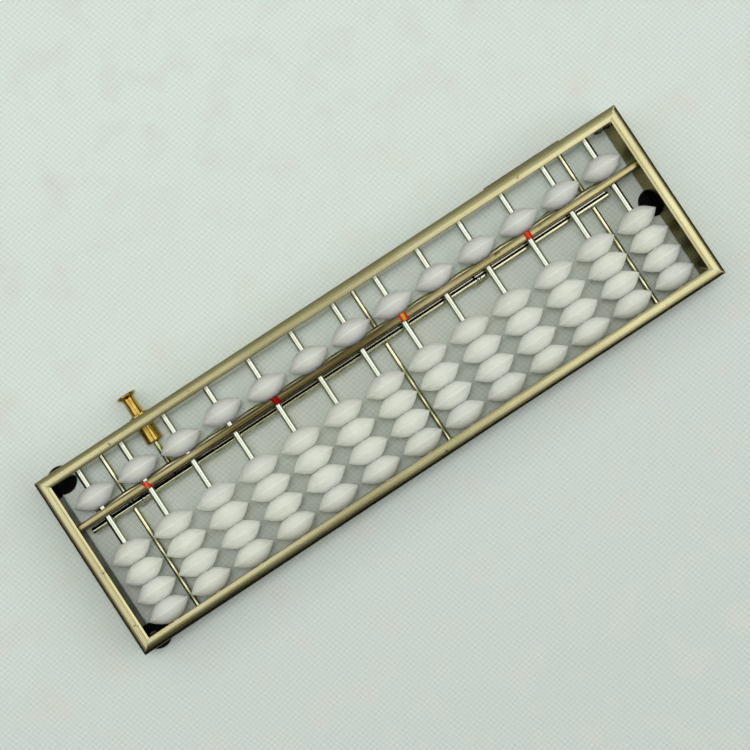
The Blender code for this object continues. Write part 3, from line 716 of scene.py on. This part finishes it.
# Bright strip beside the beam's lower edge, in two lengths, with a black piece behind each as painted shadow
strip = {
    "reach": 0.46,  # from the beam's side
    "bottom": 8.36,
    "top": 8.52,
    "edge": 0.1,
    "bevel": (0.05, 0.03),
    "shadowGap": 0.2,
    "shadowGapOverlap": (0.02, 0.05),  # into the strip and into the beam
    "shadowGapSunk": (0.01, 0.08),  # over the strip's bottom and under its top
    "lengths": {"left": (-49.6, 37.0), "right": (37.7, 81.6)},
}


def layBesideBeam(name, section, start, end, material):
    bm = bmesh.new()
    runSection(bm, section, end - start)
    bmesh.ops.translate(bm, verts=bm.verts, vec=((start + end) / 2, 0.0, 0.0))
    finishPiece(bm, name, "frame", material, crease=28.0, flats=True)


edgeY, inset = beamLow.y - strip["reach"], beamLow.y - strip["shadowGap"]
bottom, top = strip["bottom"], strip["top"]
bevelY, bevelZ = strip["bevel"]
stripSection = [(edgeY, bottom), (edgeY, top - strip["edge"]), (edgeY + bevelY, top - bevelZ), (inset, top)]
stripSection += [(inset, bottom)]
near, far = inset - strip["shadowGapOverlap"][0], beamLow.y + strip["shadowGapOverlap"][1]
low, high = bottom + strip["shadowGapSunk"][0], top - strip["shadowGapSunk"][1]
shadowGapSection = [(near, low), (near, high), (far, high), (far, low)]
for side, (start, end) in strip["lengths"].items():
    layBesideBeam("beam_strip_" + side, stripSection, start, end, stripMetal)
    # a black piece as painted shadow in the gap beside the beam
    layBesideBeam("beam_painted_shadow_" + side, shadowGapSection, start, end, lacquerAndShadowBlack)

# Unit marks: paint over the beam's top
marks = {
    "proud": 0.05,
    "depth": 0.9,
    "columns": {
        2: {"half": 0.85, "shift": -0.1, "slant": -0.38, "colours": ((206, 92, 60), (166, 28, 12))},
        5: {"half": 1.1, "shift": 0.3, "slant": -0.2, "colours": ((132, 2, 4), (112, 1, 3))},
        8: {"half": 1.2, "shift": 0.45, "slant": -0.08, "colours": ((200, 150, 50), (172, 36, 14))},
        11: {"half": 0.95, "shift": -0.1, "slant": 0.0, "colours": ((196, 70, 26), (164, 12, 8))},
    },
}
for number, mark in marks["columns"].items():
    low, high = nodeBox(f"rod_{number:02d}")
    centreX = (low.x + high.x) / 2 + mark["shift"]
    bm = bmesh.new()
    runSection(bm, beamSection(marks["proud"], beamHigh.z - marks["depth"]), 2 * mark["half"])
    for vert in bm.verts:
        vert.co.x += (vert.co.y - (beamLow.y + beamHigh.y) / 2) * mark["slant"] + centreX
    inner, outer = (shade(*colour) for colour in mark["colours"])
    paint = markPaint(f"mark_paint_{number:02d}", inner, outer, centreX / 1000 + frameMiddle.x)
    finishPiece(bm, f"unit_mark_{number:02d}", "frame", paint, crease=28.0, flats=True)
print("beam and its marks formed")

# Rods and guide wires
rods = {"sides": 40, "rim": 0.15}
wires = {"sides": 32, "rim": 0.1}


def nodeAxis(node):
    # the radius and the ends of a round piece along Y
    low, high = nodeBox(node)
    centreX, centreZ = (low.x + high.x) / 2, (low.z + high.z) / 2
    return (high.x - low.x) / 2, (centreX, low.y, centreZ), (centreX, high.y, centreZ)


for name in columns:
    bm = bmesh.new()
    addCylinder(bm, *nodeAxis("rod_" + name), alongY, rods["sides"], rods["rim"])
    finishPiece(bm, "chrome_rod_" + name, "frame", chrome, ["rod_" + name], flats=True)
for name in ("left", "middle", "right"):
    bm = bmesh.new()
    radius, start, end = nodeAxis("guide_wire_" + name)
    addCylinder(bm, radius, start, end, alongY, wires["sides"], wires["rim"])
    flank = bm.verts.layers.float.new("flank")
    for vert in bm.verts:
        vert[flank] = min(abs(vert.co.x - start[0]) / radius, 1.0)
    finishPiece(bm, "gold_wire_" + name, "frame", wireGold, ["guide_wire_" + name], flats=True)
print("rods and wires drawn")

# Beads: convex lenses, bored for the rods
bead = {
    "halfThickness": 3.1,
    "bore": 1.25,
    "boreEdge": 0.12,
    "face": 1.9,  # a ring on the flat face
    "hubRadius": 2.35,  # where the flat face ends and the curved flank begins
    "ridge": 6.4,  # where the rounding of the edge begins
    "slope": 0.42,
    "curve": 0.078,
    "steps": 56,
    "faceSteps": 9,
    "rimSteps": 4,
    "stack": 4,
    "pitch": 6.3,
    "hub": 0.28,  # how far the hub of an outermost bead stands out
    "hubSteps": ((1.95, 0.5), (1.55, 0.14), (1.25, 0.0)),  # radius, share of the hub's height
}


def beadProfile(lowerHub=0.0):
    start, half = bead["hubRadius"], bead["halfThickness"]
    bore, edge = bead["bore"], bead["boreEdge"]
    upper = [(bore, half - edge), (bore + edge, half), (bead["face"], half)]
    for step in range(bead["faceSteps"] + 1):
        off = (bead["ridge"] - start) * step / bead["faceSteps"]
        upper.append((start + off, half - bead["slope"] * off - bead["curve"] * off * off))
    lastRadius, lastHeight = upper[-1]
    lean = atan2(1.0, bead["slope"] + 2 * bead["curve"] * (lastRadius - start))
    rim = lastHeight / sin(lean)
    turns = [lean * (1 - step / bead["rimSteps"]) for step in range(1, bead["rimSteps"] + 1)]
    upper += [(lastRadius + rim * (cos(turn) - cos(lean)), rim * sin(turn)) for turn in turns]
    lower = [(radius, -height) for radius, height in reversed(upper[:-1])]
    if lowerHub:
        lower[-3:] = [(radius, lowerHub * share - half - lowerHub) for radius, share in bead["hubSteps"]]
    return upper + lower


def makeBead(name, centre, body, nodes=(), lowerHub=0.0):
    bm = bmesh.new()
    turnProfile(bm, beadProfile(lowerHub), centre, (0, 1, 0), bead["steps"], closed=True)
    flank = bm.verts.layers.float.new("flank")
    for vert in bm.verts:
        vert[flank] = min(abs(vert.co.y - centre[1]) / bead["halfThickness"], 1.0)
    finishPiece(bm, name, body, beadPlastic, nodes, crease=50.0)


for name in columns:
    node = "heaven_bead_" + name
    low, high = nodeBox(node)
    makeBead("upper_bead_" + name, (low + high) / 2, node, [node], bead["hub"])
    node = "earth_beads_" + name
    low, high = nodeBox(node)
    for place in range(bead["stack"]):
        along = low.y + bead["halfThickness"] + place * bead["pitch"]
        centre = Vector(((low.x + high.x) / 2, along, (low.z + high.z) / 2))
        nodes, hub = ([node], bead["hub"]) if place == 0 else ((), 0.0)
        makeBead(f"lower_bead_{name}_{place + 1}", centre, node, nodes, hub)
print("beads turned")

# Clearing bars with their pins
bars = {
    "radius": 0.95,
    "z": 7.2,
    "rim": 0.18,
    "upperPins": (-47.45, 64.15),  # places along X
    "lowerPins": (-73.15, 38.45),
    "pinRadius": 0.6,
    "pinBottom": 2.49,
    "headTop": 8.45,
    "dome": ((0.0, 0.0), (0.35, 0.04), (0.62, 0.16), (0.78, 0.4), (1.0, 0.48)),  # radius, fall from the top
    "paintedReflections": {  # painted reflection: where the dark side starts and is full, in metres from the middle, and the left tint
        "lower_clear_bar": (lowerBarGold, 0.0002, 0.00036, shade(232, 234, 200)),
        "upper_clear_bar": (upperBarGold, 0.0001, -0.0001, shade(210, 206, 172)),
    },
}


def makeBar(name, node, pins, headed, body, material):
    low, high = nodeBox(node)
    centreY, centreZ = (low.y + high.y) / 2, bars["z"]
    barEnds = ((low.x, centreY, centreZ), (high.x, centreY, centreZ))
    bm = bmesh.new()
    addCylinder(bm, bars["radius"], *barEnds, alongX, sides=36, rim=bars["rim"])
    for pinX in pins:
        pinEnds = ((pinX, centreY, bars["pinBottom"]), (pinX, centreY, centreZ))
        addCylinder(bm, bars["pinRadius"], *pinEnds, sides=24)
        if headed:
            head = bmesh.new()
            profile = [(radius, bars["headTop"] - fall) for radius, fall in bars["dome"]]
            profile += [(profile[-1][0], centreZ), (0.0, centreZ)]
            turnProfile(head, profile, (pinX, centreY, 0.0), (0, 0, 1), steps=28)
            headName = f"{name}_pin_head_{'left' if pinX < 0 else 'right'}"
            finishPiece(head, headName, body, chrome, crease=40.0, flats=True)
    finishPiece(bm, name, body, material, [node], crease=40.0, flats=True)


# painted reflection of the beam's dark side on each bar's side that faces it, and a painted tint at its left
# end
for node, (material, start, full, leftPaintedReflection) in bars["paintedReflections"].items():
    barLine = frameMiddle.y + 0.001 * sum(corner.y for corner in nodeBox(node)) / 2
    paintBarReflections(material, barLine + start, barLine + full, leftPaintedReflection)
makeBar("upper_bar", "upper_clear_bar", bars["upperPins"], False, "upper_bar", upperBarGold)
makeBar("lower_bar", "lower_clear_bar", bars["lowerPins"], True, "button", lowerBarGold)

# Button, with a dished cap on a stem
button = {
    "dish": (0.05, 0.03),  # how far the face lies under its edge, in the middle and further out
    "dishShare": 0.55,
    "edge": 0.22,
    "capRim": 0.6,
    "rimRelief": (0.08, 0.1),
    "capThickness": 1.2,
    "neck": (0.25, 0.08, 0.15),  # the fillet's width at the cap, and how far it goes into cap and stem
    "stemRadius": 1.8,
    "stemEdge": 0.15,
}
low, high = nodeBox("button")
capRadius, capTop, capBottom = (high.x - low.x) / 2, high.y, high.y - button["capThickness"]
edge, rimY = button["edge"], high.y - button["capRim"]
stem, stemEdge, cut = button["stemRadius"], button["stemEdge"], button["edge"] * cornerCut
neckWidth, intoCap, intoStem = button["neck"]
profile = [(0.0, capTop - button["dish"][0]), (capRadius * button["dishShare"], capTop - button["dish"][1])]
profile += [(capRadius - edge, capTop), (capRadius - cut, capTop - cut), (capRadius, capTop - edge)]
profile += [(capRadius, rimY + button["rimRelief"][1]), (capRadius - button["rimRelief"][0], rimY)]
profile += [(stem + neckWidth, capBottom + intoCap), (stem, capBottom - intoStem)]
profile += [(stem, low.y + stemEdge), (stem - stemEdge, low.y), (0.0, low.y)]
bm = bmesh.new()
turnProfile(bm, profile, (axisX, 0.0, axisZ), (0, 1, 0), steps=48)
finishPiece(bm, "push_button", "button", brass, ["button"], crease=30.0, flats=True)

# Flanged bush in the upper rail
bush = {"bore": 1.9, "throat": 0.98, "wall": 0.8, "flange": 1.1, "chamfer": 0.5, "round": 0.15}
bushLow, bushHigh = nodeBox("button_bush")
radius, flangeRadius = bushSeat["radius"], (bushHigh.x - bushLow.x) / 2
outerEnd, innerEnd, flangeY = bushHigh.y, bushLow.y, bushHigh.y - bush["flange"]
small, bore, throat, throatY = bush["round"], bush["bore"], bush["throat"], bushLow.y + bush["wall"]
chamfer, cut = bush["chamfer"], bush["chamfer"] * cornerCut
profile = [(bore, outerEnd - small), (bore + small, outerEnd), (flangeRadius - small, outerEnd)]
profile += [(flangeRadius, outerEnd - small), (flangeRadius, flangeY + small)]
profile += [(flangeRadius - small, flangeY), (radius, flangeY)]
profile += [(radius, innerEnd + chamfer), (radius - cut, innerEnd + cut)]
profile += [(radius - chamfer, innerEnd), (throat, innerEnd), (throat, throatY), (bore, throatY)]
bm = bmesh.new()
turnProfile(bm, profile, (axisX, 0.0, axisZ), (0, 1, 0), steps=48, closed=True)
finishPiece(bm, "flanged_bush", "frame", brass, ["button_bush"], crease=30.0, flats=True)

# Plunger wire, bent up at its far end
plunger = {"radius": 0.83, "bend": 1.0, "endY": 8.643}
plungerHigh = nodeBox("plunger_rod")[1]
bendCentre = (plunger["endY"] + plunger["bend"], axisZ + plunger["bend"])
path = [(plungerHigh.y, axisZ)]
path += arcPoints(bendCentre, plunger["bend"], 3 * pi / 2, pi, steps=8)
path += [(plunger["endY"], plungerHigh.z)]
bm = tubeMesh([(axisX, y, z) for y, z in path], plunger["radius"])
finishPiece(bm, "plunger_wire", "button", plungerGold, ["plunger_rod"], crease=50.0)

# Return spring, which shortens by the button's stroke
spring = {"wire": 0.2, "turns": 5, "perTurn": 16, "stroke": 4.57}
low, high = nodeBox("return_spring")
coilRadius, rise = (high.x - low.x) / 2 - spring["wire"], high.y - low.y - 2 * spring["wire"]
coilSteps = spring["turns"] * spring["perTurn"]
points = []
for step in range(coilSteps + 1):
    turn = 2 * pi * step / spring["perTurn"]
    along = low.y + spring["wire"] + rise * step / coilSteps
    points.append((axisX + coilRadius * cos(turn), along, axisZ + coilRadius * sin(turn)))
bm = tubeMesh(points, spring["wire"], resolution=2)
coil = finishPiece(bm, "coil_spring", "frame", plainSteel, ["return_spring"], crease=50.0)
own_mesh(coil)
print("bars and button formed")

# Feet: rubber discs under the rails
feet = {"round": 0.35}
for name in ("upper_left", "lower_left", "right"):
    low, high = nodeBox("foot_" + name)
    radius, top, small = (high.x - low.x) / 2, high.z, feet["round"]
    cut = small * cornerCut
    profile = [(0.0, top), (radius - small, top), (radius - cut, top - cut), (radius, top - small)]
    profile += [(radius, small), (radius - cut, cut), (radius - small, 0.0), (0.0, 0.0)]
    bm = bmesh.new()
    turnProfile(bm, profile, ((low.x + high.x) / 2, (low.y + high.y) / 2, 0.0), (0, 0, 1), steps=48)
    finishPiece(bm, "rubber_foot_" + name, "frame", rubber, ["foot_" + name], crease=40.0, flats=True)

# Name plate on the upper rail's outer face, left bare
plate = {"low": (52.5, 7.0), "high": (77.2, 17.0), "proud": 0.37, "edge": 0.12}
bm = bmesh.new()
size = Vector((plate["high"][0] - plate["low"][0], plate["proud"], plate["high"][1] - plate["low"][1]))
middle = Vector((
    (plate["high"][0] + plate["low"][0]) / 2,
    outerY + plate["proud"] / 2,
    (plate["high"][1] + plate["low"][1]) / 2,
))
bmesh.ops.create_cube(bm, size=1.0, matrix=Matrix.Translation(middle) @ Matrix.Diagonal((*size, 1.0)))
bmesh.ops.bevel(
    bm, geom=bm.edges[:], offset=plate["edge"], segments=3, affect="EDGES", profile=0.5, material=-1
)
finishPiece(bm, "name_plate", "frame", plateMetal, crease=28.0, flats=True)

# Solder run into the mitres: along the corner's diagonal, then down the inner corner
solderRun = {
    "steps": 12,
    "sunk": 0.09,  # how far the seam's axis stays under the crown
    "ends": 0.55,  # the seam's thickness at its ends and how much it swells, as shares of its radius
    "swell": 0.45,
    "waver": 0.12,
    "downSteps": 8,
    "downShare": 0.8,
    "downWaver": 0.2,
}
seams = {  # from and to are depths from the outer sides, and a lean moves the lower end along Y
    "lower_right": {"corner": (1, -1), "from": 0.3, "to": 3.5, "radius": 0.2, "down": 9.0, "lean": 1.4},
    "upper_right": {"corner": (1, 1), "from": 0.4, "to": 3.6, "radius": 0.3, "down": 3.0},
    "lower_left": {"corner": (-1, -1), "from": 2.3, "to": 3.5, "radius": 0.17, "down": 1.0},
    "upper_left": {"corner": (-1, 1), "from": 1.2, "to": 2.4, "radius": 0.14, "down": 0.0},
}
for name, seam in seams.items():
    sideX, sideY = seam["corner"]
    points = []
    for step in range(solderRun["steps"] + 1):
        way = step / solderRun["steps"]
        depth = seam["from"] + (seam["to"] - seam["from"]) * way
        waver = random.uniform(-solderRun["waver"], solderRun["waver"])
        share = solderRun["ends"] + solderRun["swell"] * sin(pi * way) + waver
        height = min(crownHeight(depth) - solderRun["sunk"], railTop - seam["radius"] * share)
        points.append((sideX * (outerX - depth), sideY * (outerY - depth), height, share))
    if seam["down"]:
        lastX, lastY, lastZ = points[-1][:3]
        for step in range(1, solderRun["downSteps"] + 1):
            way = step / solderRun["downSteps"]
            share = solderRun["downShare"] + random.uniform(-solderRun["downWaver"], solderRun["downWaver"])
            points.append((lastX, lastY + seam.get("lean", 0.0) * way, lastZ - seam["down"] * way, share))
    bm = tubeMesh(points, seam["radius"], resolution=3)
    finishPiece(bm, "solder_seam_" + name, "frame", solder, crease=60.0)

# Lumps of black lacquer in two inner corners, under the crown
clips = {
    "radius": 0.34,
    "thick": (0.7, 1.2),  # by turns, as shares of the radius
    "waver": 0.15,
    "paths": {
        "upper_right": [
            (87.0, 24.2, 14.6),
            (88.4, 23.95, 15.2),
            (89.6, 24.1, 14.4),
            (90.8, 23.8, 15.4),
            (91.9, 23.9, 14.8),
        ],
        "lower_left": [(-91.9, -23.9, 14.8), (-90.9, -23.95, 14.2), (-89.8, -24.1, 14.6)],
    },
}
for name, path in clips["paths"].items():
    points = []
    for step, place in enumerate(path):
        share = clips["thick"][step % 2] + random.uniform(-clips["waver"], clips["waver"])
        points.append((*place, share))
    bm = tubeMesh(points, clips["radius"], resolution=4)
    finishPiece(bm, "lacquer_clip_" + name, "frame", lacquerAndShadowBlack, crease=70.0)
print("feet, plate and solder placed")

# CAD pieces that keep their shape get their finish here
kept = {
    "lever_left": leverPlate,
    "lever_right": leverPlate,
    "lever_pivot_left": plainSteel,
    "lever_pivot_right": plainSteel,
}
for node, material in kept.items():
    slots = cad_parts[node].data.materials
    slots.clear()
    slots.append(material)

# Floor
bm = bmesh.new()
bmesh.ops.create_grid(bm, x_segments=8, y_segments=8, size=5.0)
mesh = bpy.data.meshes.new("floor")
bm.to_mesh(mesh)
bm.free()
floor = bpy.data.objects.new("floor", mesh)
scene.collection.objects.link(floor)
mesh.materials.append(floorCloth)

# Light: soft boxes round the camera, a fill lamp between them that metal doesn't mirror,
# and a dim room
light = {
    "height": 1.0,
    "boxes": {  # start and end along X, then along Y
        "left": {"x": (-1.2, -0.085), "y": (-0.11, 0.9), "radiance": 1.28},
        "right": {"x": (0.1, 1.55), "y": (-0.75, 0.26), "radiance": 1.62},
        "far": {"x": (0.1, 0.9), "y": (0.26, 1.0), "radiance": 0.42},
        "corner": {"x": (0.2, 1.55), "y": (-1.35, -0.75), "radiance": 0.85},
        "middle": {"x": (-0.085, 0.1), "y": (-0.15, 0.6), "radiance": 0.22},
        "front": {"x": (-0.6, 0.1), "y": (-0.5, -0.15), "radiance": 0.16},
    },
    "fill": {"x": (-0.15, 0.07), "y": (-0.06, 0.13), "radiance": 26.5},
    "roomDark": (0.012, 0.012, 0.008, 1.0),
    "roomLight": (0.36, 0.37, 0.29, 1.0),
    "roomSpan": (-0.7, 0.9),  # the room's dark side to its light side, by the direction's Y
}
for name, box in (*light["boxes"].items(), ("fill", light["fill"])):
    lamp = bpy.data.lights.new("soft_box_" + name, "AREA")
    lamp.shape = "RECTANGLE"
    lamp.size = box["x"][1] - box["x"][0]
    lamp.size_y = box["y"][1] - box["y"][0]
    lamp.energy = box["radiance"] * pi * lamp.size * lamp.size_y
    holder = bpy.data.objects.new("soft_box_" + name, lamp)
    holder.location = (sum(box["x"]) / 2, sum(box["y"]) / 2, light["height"])
    holder.visible_glossy = name != "fill"
    scene.collection.objects.link(holder)

world = bpy.data.worlds.new("room")
scene.world = world
world.use_nodes = True
tree = world.node_tree
background = tree.nodes["Background"]
direction = addNode(tree, "TexCoord").outputs["Generated"]
towards = addNode(tree, "SeparateXYZ", {"Vector": direction}).outputs["Y"]
share = addRange(tree, towards, *light["roomSpan"], 0.0, 1.0)
tree.links.new(addMix(tree, share, light["roomDark"], light["roomLight"]), background.inputs["Color"])
print("light set")
